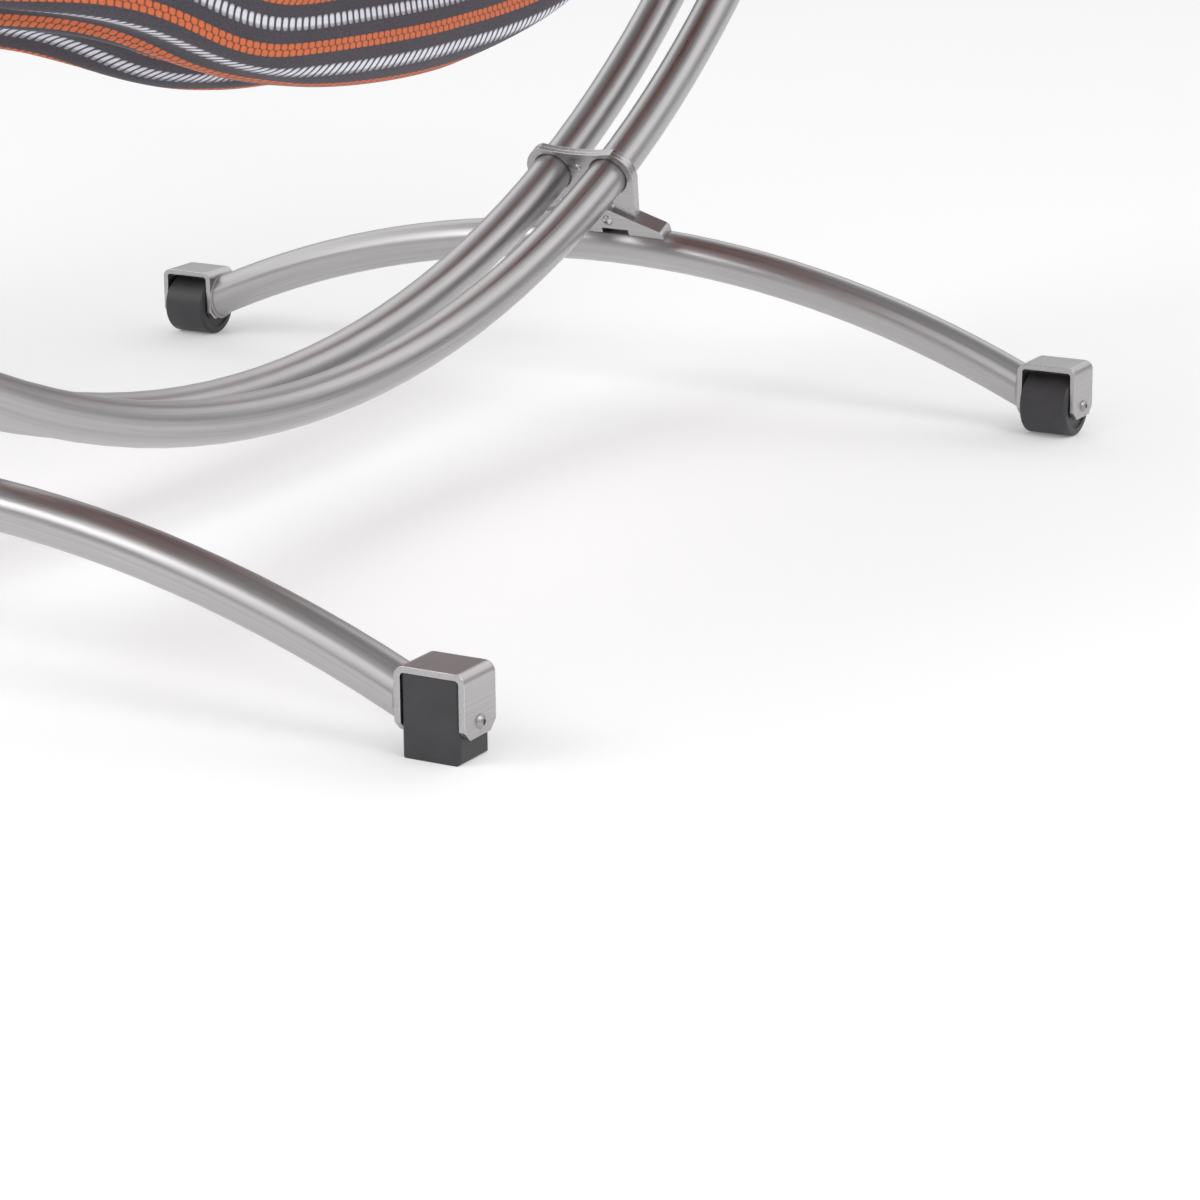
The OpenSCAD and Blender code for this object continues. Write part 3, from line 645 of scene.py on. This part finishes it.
def bell(x, middle, spread):
    """1 at the middle, falling off smoothly over the spread."""
    return np.exp(-(((x - middle) / spread) ** 2))


# Where the bottom line leaves the hanging curve: height, place along and spread of each swell
SWELLS = ((0.044, -0.44, 0.22), (-0.012, 0.18, 0.35), (-0.008, 0.45, 0.16))


def bottom_line(x):
    """Height of the cloth's lowest line: the hanging curve, drawn up a little before the middle."""
    lift = sum(height * bell(x, at, spread) for height, at, spread in SWELLS)
    return LOW_Z + RISE * (np.abs(x) / REACH) ** POWER + lift


def bottom_slope(x):
    """Slope of the bottom line, over a millimetre each way."""
    step = 1 * MM
    return (bottom_line(x + step) - bottom_line(x - step)) / (2 * step)


def drift(u):
    """How far the stripes creep round the section, at u along the cloth."""
    return 0.020 - 0.016 * bell(u, -0.27, 0.12)


# Soft lengthwise folds: place across (-1 near rim, 1 far rim), slant along, width, height
# outwards, and where along the cloth each is strongest and how far it runs
FOLDS = (
    (-0.27, 0.00, 0.095, 0.034, 0.15, 0.55),
    (-0.10, -0.04, 0.045, -0.020, -0.32, 0.30),
    (0.00, 0.00, 0.06, 0.012, -0.32, 0.35),
    (-0.47, 0.05, 0.08, -0.020, 0.05, 0.70),
    (-0.68, 0.00, 0.10, 0.032, 0.05, 0.70),
    (-0.90, -0.05, 0.06, -0.012, 0.20, 0.70),
    (0.22, -0.12, 0.08, 0.012, -0.20, 0.60),
    (0.42, 0.10, 0.07, -0.018, 0.30, 0.70),
    (0.62, 0.00, 0.09, 0.024, -0.10, 0.70),
    (0.84, 0.06, 0.06, -0.014, 0.10, 0.80),
)

# Half width, depth and half opening angle of the cloth's section, at its middle and at its ends
HALF_W = (262 * MM, 19 * MM)
DEPTH = (345 * MM, 40 * MM)
OPEN_ANGLE = (86, 172)
# Height of the section's lowest point above the bottom line
SKIN_LIFT = 8 * MM
# Part of the half length, from the middle, over which the folds keep their full height
FOLD_FREE = 0.30


def between(pair, share):
    """The pair's first value at share 1, its second at share 0, and evenly between."""
    first, second = pair
    return second + (first - second) * share


def section(s, pleat_amp, pleats, t):
    """Points (across, up) of the cloth's section at s, -1 to 1 along it, for t from -1 to 1."""
    inner = 1 - s * s
    half_w = between(HALF_W, inner**0.85)
    depth = between(DEPTH, inner**0.9)
    open_a = math.radians(between(OPEN_ANGLE, 1 - abs(s) ** 5))
    # a superellipse, a little slimmer at the shoulders than an ellipse, and an ellipse at the ends
    keen = 2 / (1.95 + 0.05 * abs(s) ** 3)
    a = t * open_a
    sine, cosine = np.sin(a), np.cos(a)
    across = half_w * np.sign(sine) * np.abs(sine) ** keen
    rim = 1 - np.sign(math.cos(open_a)) * abs(math.cos(open_a)) ** keen
    up = SKIN_LIFT + depth * (1 - np.sign(cosine) * np.abs(cosine) ** keen) / rim
    # outward normal of the smooth section
    dx = np.gradient(across, t)
    dy = np.gradient(up, t)
    n = np.hypot(dx, dy) + 1e-9
    nx, ny = dy / n, -dx / n
    near_end = np.clip((abs(s) - FOLD_FREE) / (1 - FOLD_FREE), 0, 1)
    lanes = sum(high * bell(t, at + slant * s, wide) * bell(s, middle, spread)
                for at, slant, wide, high, middle, spread in FOLDS)
    lanes = lanes * (0.25 + 0.75 * inner) * (1 - near_end**1.5)
    # pleats of uneven width and height
    wave = np.sin(math.pi * pleats * t + 0.6 * np.sin(2.1 * math.pi * t) + 0.4 * s)
    wave = wave * (1 + 0.25 * np.sin(5.3 * t + 1.0))
    off = lanes + pleat_amp * wave
    return across + nx * off, up + ny * off


def run_length(x, y):
    """Distance run along a line of points, from its first one."""
    return np.concatenate([[0], np.cumsum(np.hypot(np.diff(x), np.diff(y)))])


# Points to measure a section on, and halvings to find its pleat height
FINE_POINTS = 4001
HALVINGS = 22
# How much closer the stations lie towards the ends
END_CROWD = 1.12
# Pleats start this far along the half length, and are no higher than these at middle and end
PLEAT_FROM = 0.12
PLEAT_MOST = (0.5 * MM, 11.5 * MM)


def pleat_room(s):
    """The greatest height that pleats may have at s."""
    share = np.clip((abs(s) - PLEAT_FROM) / (1 - PLEAT_FROM), 0, 1)
    return between(PLEAT_MOST, 1 - share**0.6)


def cloth_sections(look):
    """Even points across the cloth at each station, with the cloth's width kept by its pleats."""
    fine = np.linspace(-1, 1, FINE_POINTS)
    steps = np.linspace(-1, 1, look.cells + 1)
    stations = np.sign(steps) * (1 - (1 - np.abs(steps)) ** END_CROWD)
    sections = []
    for s in stations:
        lo, hi = 0.0, pleat_room(s)
        for _ in range(HALVINGS):
            mid = (lo + hi) / 2
            if run_length(*section(s, mid, look.pleats, fine))[-1] < look.width:
                lo = mid
            else:
                hi = mid
        x, y = section(s, lo, look.pleats, fine)
        run = run_length(x, y)
        even = np.linspace(0, run[-1], look.columns + 1)
        sections.append((s, np.interp(even, run, x), np.interp(even, run, y)))
    return sections


def hang(s, across, up):
    """Places a section's points on the hanging line, square to it."""
    x = REACH * s
    tilt = math.atan(bottom_slope(x))
    return np.stack([x - up * math.sin(tilt), across, bottom_line(x) + up * math.cos(tilt)], axis=-1)


def cloth_mesh(look, mat):
    """The cloth with its weave map, and the lines of points along its two edges."""
    rows = cloth_sections(look)
    cols = look.columns + 1
    verts = np.concatenate([hang(s, x, y) for s, x, y in rows])
    ob = mesh_object("hammock_bed", verts, grid_faces(len(rows), cols), mat)
    line_x = np.array([REACH * s for s, *_ in rows])
    along = run_length(line_x, bottom_line(line_x))
    u = np.repeat(along - along[-1] / 2, cols)
    v = np.tile(np.linspace(0, 1, cols), len(rows)) * look.width + drift(u)
    loops = np.empty(len(ob.data.loops), dtype=np.int32)
    ob.data.loops.foreach_get("vertex_index", loops)
    layer = ob.data.uv_layers.new(name="weave")
    layer.data.foreach_set("uv", np.stack([u[loops], v[loops]], axis=-1).ravel())
    return ob, [verts[0::cols], verts[cols - 1::cols]]


# The cloth's end runs from inside the gather, round the ring bar and back
LOOP_TUCK = 12 * MM
LOOP_R = 9.5 * MM
LOOP_STATIONS = 61
LOOP_SIDES = 72
LEG_SHARE = 0.4
# Half thickness and half width of the bunched cloth, in the gather and on the ring
LOOP_HALF_T = (9.8 * MM, 4.4 * MM)
LOOP_HALF_W = (20.5 * MM, 12.0 * MM)


def loop_path():
    """Stations of the loop: place, outward way, and 0 in the gather to 1 on the ring bar."""
    path = []
    for p in np.linspace(0, 1, LOOP_STATIONS):
        k = min(p, 1 - p) / LEG_SHARE
        if k < 1:
            side = 1 if p < 0.5 else -1
            x = (GATHER_END + LOOP_TUCK) * (1 - k) + RING_FAR * k
            path.append((x, side * LOOP_R, 0, side, k**2 * (3 - 2 * k)))
        else:
            a = math.pi * (p - LEG_SHARE) / (1 - 2 * LEG_SHARE)
            sine, cosine = math.sin(a), math.cos(a)
            path.append((RING_FAR - LOOP_R * sine, LOOP_R * cosine, sine, cosine, 1.0))
    return path


def loop_mesh(name, end, mat):
    """The cloth's end taken round the ring bar and back into the binding."""
    rings = []
    m = pull_matrix(end)
    for x, y, out_x, out_y, on_bar in loop_path():
        half_t = between(LOOP_HALF_T, 1 - on_bar)
        half_w = between(LOOP_HALF_W, 1 - on_bar)
        ring = []
        for k in range(LOOP_SIDES):
            a = 2 * math.pi * k / LOOP_SIDES
            crease = 1 + 0.10 * math.cos(11 * a + 120 * x) + 0.04 * math.cos(17 * a)
            out = half_t * math.sin(a) * crease
            wide = half_w * math.cos(a) * crease
            ring.append(m @ Vector((x - out * out_x, y + out * out_y, wide)))
        rings.append(ring)
    return tube_mesh(name, rings, mat)


# ------------------------------------------------------------------ operators


def looks():
    """The sizes and colours of the stand, the cloth and the stage."""
    sc = bpy.context.scene
    return sc.hammock_stand, sc.hammock_cloth, sc.hammock_stage


class HAMMOCK_OT_tubes(bpy.types.Operator):
    """Brush the arcs, feet and sleeves along their bends"""

    bl_idname = "hammock.tubes"
    bl_label = "Finish tubes"

    def execute(self, context):
        look, *_ = looks()
        arcs = tube_steel("brushed_arc", look, feet=False)
        feet = tube_steel("brushed_foot", look, feet=True)
        for n in nodes_named("near_arc", "far_arc", "sleeve_near", "sleeve_far"):
            dress(n, arcs)
        for n in nodes_named("foot_tube"):
            dress(n, feet)
        return {"FINISHED"}


class HAMMOCK_OT_plates(bpy.types.Operator):
    """Finish clamps, saddles, brackets and lugs as brushed plate"""

    bl_idname = "hammock.plates"
    bl_label = "Finish plates"

    def execute(self, context):
        look, *_ = looks()
        bracket = plate_steel("brushed_bracket", look, "X", 0.34)
        clamp = plate_steel("brushed_clamp", look, "Y", 0.27, gain=7.0, lift=0.95)
        saddle = plate_steel("brushed_saddle", look, "Y", gain=7.0, lift=0.95)
        for n in nodes_named("bracket"):
            dress(n, bracket)
        for n in nodes_named("ring_plate"):
            dress(n, clamp)
        for n in nodes_named("saddle_front", "saddle_rear", "hanger_lug"):
            dress(n, saddle)
        return {"FINISHED"}


class HAMMOCK_OT_fasteners(bpy.types.Operator):
    """Polish bolts, nuts, hooks, gates and rings"""

    bl_idname = "hammock.fasteners"
    bl_label = "Finish fasteners"

    def execute(self, context):
        look, *_ = looks()
        bright = bright_steel("bright_steel", look)
        satin = bright_steel("satin_bolt", look, rough=0.38, lift=0.62)
        for n in nodes_named("sleeve_screws", "clamp_screws", "saddle_bolts", "saddle_nuts", "axle_",
                             "weld_nuts", "hanger_bolts", "hanger_nuts", "hanger_washers",
                             "hanger_spacers", "carabiner", "gate", "end_ring"):
            dress(n, bright)
        for n in nodes_named("pad_bolts", "axle_bolt"):
            dress(n, satin)
        return {"FINISHED"}


class HAMMOCK_OT_plastics(bpy.types.Operator):
    """Finish pads, rollers and tip caps as moulded plastic"""

    bl_idname = "hammock.plastics"
    bl_label = "Finish plastics"

    def execute(self, context):
        look, *_ = looks()
        dark = moulded("charcoal_plastic", look)
        for n in nodes_named("pad_near", "pad_far", "wheel_", "tip_caps"):
            dress(n, dark)
        return {"FINISHED"}


# Points round a weld's path, and how far it lies inside the foot tube's end
BEAD_POINTS = 48
BEAD_INSET = 0.6 * MM


class HAMMOCK_OT_welds(bpy.types.Operator):
    """Lay a rippled weld bead where each foot tube meets its bracket"""

    bl_idname = "hammock.welds"
    bl_label = "Weld beads"

    def execute(self, context):
        look, *_ = looks()
        mat = plate_steel("weld_steel", look, "Z", 0.36, gain=1.0, lift=0.85)
        slope = math.asin(FOOT_HALF / FOOT_R)
        turns = [2 * math.pi * k / BEAD_POINTS for k in range(BEAD_POINTS)]
        rings = []
        for end in (-1, 1):
            for side in (-1, 1):
                rings.append([(end * FOOT_X + TUBE_R * math.cos(a), side * (FOOT_HALF - BEAD_INSET),
                               FOOT_END_Z + TUBE_R / math.cos(slope) * math.sin(a)) for a in turns])
        base = path_mesh("bead_path", rings, closed=True)
        bead = grow("weld_beads", ripple_tree(), base, {"Radius": look.bead_r, "Step": look.bead_step}, mat)
        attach(bead, "stand")
        return {"FINISHED"}


# The whipping: turns of cord round the gathered cloth, from end to end of the binding
WHIP_TURNS = 12.5
WHIP_POINTS = 301
WHIP_BORE_R = 24.4 * MM


def whip_run(end, cord_r):
    """Points of the cord's helix at the front (-1) or rear (+1) end."""
    m = pull_matrix(end)
    radius = WHIP_BORE_R + cord_r
    run = []
    for share in np.linspace(0, 1, WHIP_POINTS):
        a = 2 * math.pi * WHIP_TURNS * share
        x = BIND_FROM + cord_r + (BIND_LEN - 2 * cord_r) * share
        run.append(m @ Vector((x, radius * math.cos(a), radius * math.sin(a))))
    return run


class HAMMOCK_OT_cloth(bpy.types.Operator):
    """Hang the striped cloth with its hems, loops and bindings"""

    bl_idname = "hammock.cloth"
    bl_label = "Hang cloth"

    def execute(self, context):
        _, look, _ = looks()
        weave = woven("striped_weave", look)
        cord = webbing("orange_cord", look.warm)
        bed, edges = cloth_mesh(look, weave)
        skin = bed.modifiers.new("layer", "SOLIDIFY")
        skin.thickness = look.thickness
        skin.offset = 0
        skin.use_even_offset = False
        context.view_layer.objects.active = bed
        bpy.ops.object.modifier_apply(modifier="layer")
        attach(bed, "hammock")
        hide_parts("hammock_fabric")

        every_second = [edge[::2] for edge in edges]
        hem = grow("selvedge_hems", winding_tree(), path_mesh("hem_path", every_second, closed=False),
                   {"Radius": look.hem_r}, webbing("hem_cloth", look.ground))
        extra = [hem]
        for end, tag in ((-1, "front"), (1, "rear")):
            loop = loop_mesh("gathered_loop_" + tag, end, webbing("gathered_" + tag, look.ground))
            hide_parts("gathered_end_" + tag)
            base = path_mesh("wind_path", [whip_run(end, look.whip_r)], closed=False)
            wind = grow("binding_cord_" + tag, winding_tree(), base, {"Radius": look.whip_r}, cord)
            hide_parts("binding_" + tag)
            extra += [loop, wind]
        for p in extra:
            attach(p, "hammock")
        return {"FINISHED"}


FLOOR_HALF = 30
# Grey of the surroundings from straight down (0) to straight up (1), with a bright ring overhead
SKY = ((0.0, 0.5), (0.50, 0.42), (0.64, 0.55), (0.72, 1.45), (0.85, 1.45), (0.91, 0.38), (1.0, 0.32))
SOFTBOX_SIZE = (2.4, 2.0)
# Place of each softbox and the point that it faces
SOFTBOXES = {
    "near_softbox": ((-0.8, -3.4, 3.4), (0.2, 0.0, 0.2)),
    "front_softbox": ((-3.4, 2.4, 3.0), (-0.4, 0.0, 0.2)),
}


def add_camera(scene, look):
    """The camera, from its heading, tilt and lean."""
    cam = bpy.data.cameras.new("camera")
    cam.sensor_width = 36
    cam.lens = look.lens
    cam.clip_start = 0.05
    cam.clip_end = 200
    eye = bpy.data.objects.new("camera", cam)
    scene.collection.objects.link(eye)
    cy, sy, cp, sp = math.cos(look.yaw), math.sin(look.yaw), math.cos(look.pitch), math.sin(look.pitch)
    ahead = Vector((cy * cp, sy * cp, -sp))
    right = Vector((sy, -cy, 0))
    up = right.cross(ahead)
    cr, sr = math.cos(look.roll), math.sin(look.roll)
    right, up = right * cr + up * sr, up * cr - right * sr
    turn = Matrix((right, up, -ahead)).transposed().to_4x4()
    eye.matrix_world = Matrix.Translation(look.place) @ turn
    scene.camera = eye


def add_floor(look):
    """A wide sheet of pale paper, with a little glow that keeps the shadows faint."""

    def build(g):
        cloud = g.noise(object_co(g), 0.6, 2.0)
        return {"Base Color": g.mix(g.span(cloud, 0.3, 0.7), look.floor, shade(look.floor, 0.985))}

    paper = material("floor_paper", build, Roughness=0.9, Emission_Strength=0.16)
    h = FLOOR_HALF
    corners = [(-h, -h, 0), (h, -h, 0), (h, h, 0), (-h, h, 0)]
    mesh_object("floor", corners, [(0, 1, 2, 3)], paper, smooth=False)


def add_sky(scene, look):
    """Studio light from all round, in bands of grey by height."""
    world = bpy.data.worlds.new("studio")
    scene.world = world
    world.use_nodes = True
    g = Graph(world.node_tree)
    z = g.parts(g.node("ShaderNodeTexCoord").outputs["Generated"])[2]
    ramp = g.node("ShaderNodeValToRGB", {0: g.span(z, -1.0, 1.0)})
    stops = ramp.color_ramp.elements
    while len(stops) < len(SKY):
        stops.new(0.5)
    for stop, (at, level) in zip(stops, SKY):
        stop.position = at
        stop.color = (level, level, level * 1.01, 1)
    back = g.node("ShaderNodeBackground", {"Color": ramp.outputs[0], "Strength": look.fill})
    g.feed(g.node("ShaderNodeOutputWorld").inputs[0], back.outputs[0])


def add_lamp(scene, name, place, aim, power):
    """A big soft lamp that faces a point."""
    data = bpy.data.lights.new(name, "AREA")
    data.shape = "RECTANGLE"
    data.size, data.size_y = SOFTBOX_SIZE
    data.energy = power
    ob = bpy.data.objects.new(name, data)
    scene.collection.objects.link(ob)
    way = Vector(aim) - Vector(place)
    ob.matrix_world = Matrix.Translation(place) @ way.to_track_quat("-Z", "Y").to_matrix().to_4x4()


class HAMMOCK_OT_stage(bpy.types.Operator):
    """Set up the floor, soft lights and camera"""

    bl_idname = "hammock.stage"
    bl_label = "Set stage"

    def execute(self, context):
        *_, look = looks()
        scene = context.scene
        scene.view_settings.view_transform = "Standard"
        add_camera(scene, look)
        add_floor(look)
        add_sky(scene, look)
        for name, (place, aim) in SOFTBOXES.items():
            add_lamp(scene, name, place, aim, look.key)
        return {"FINISHED"}


class HAMMOCK_PT_panel(bpy.types.Panel):
    """Lists the building steps"""

    bl_label = "Hammock"
    bl_space_type = "VIEW_3D"
    bl_region_type = "UI"
    bl_category = "Hammock"

    def draw(self, context):
        for op in STEPS:
            self.layout.operator(op.bl_idname)
        for group_name in ("hammock_stand", "hammock_cloth", "hammock_stage"):
            look = getattr(context.scene, group_name)
            box = self.layout.box()
            for key in look.__annotations__:
                box.prop(look, key)


GROUPS = {"hammock_stand": StandLook, "hammock_cloth": ClothLook, "hammock_stage": StageLook}
STEPS = (HAMMOCK_OT_stage, HAMMOCK_OT_tubes, HAMMOCK_OT_plates, HAMMOCK_OT_fasteners,
         HAMMOCK_OT_plastics, HAMMOCK_OT_welds, HAMMOCK_OT_cloth)


def register():
    for name, cls in GROUPS.items():
        bpy.utils.register_class(cls)
        setattr(bpy.types.Scene, name, PointerProperty(type=cls))
    for cls in (*STEPS, HAMMOCK_PT_panel):
        bpy.utils.register_class(cls)


def unregister():
    for cls in (HAMMOCK_PT_panel, *reversed(STEPS)):
        bpy.utils.unregister_class(cls)
    for name, cls in reversed(GROUPS.items()):
        delattr(bpy.types.Scene, name)
        bpy.utils.unregister_class(cls)


def main():
    register()
    bpy.ops.hammock.stage()
    bpy.ops.hammock.tubes()
    bpy.ops.hammock.plates()
    bpy.ops.hammock.fasteners()
    bpy.ops.hammock.plastics()
    bpy.ops.hammock.welds()
    bpy.ops.hammock.cloth()


if __name__ == "__main__":
    main()
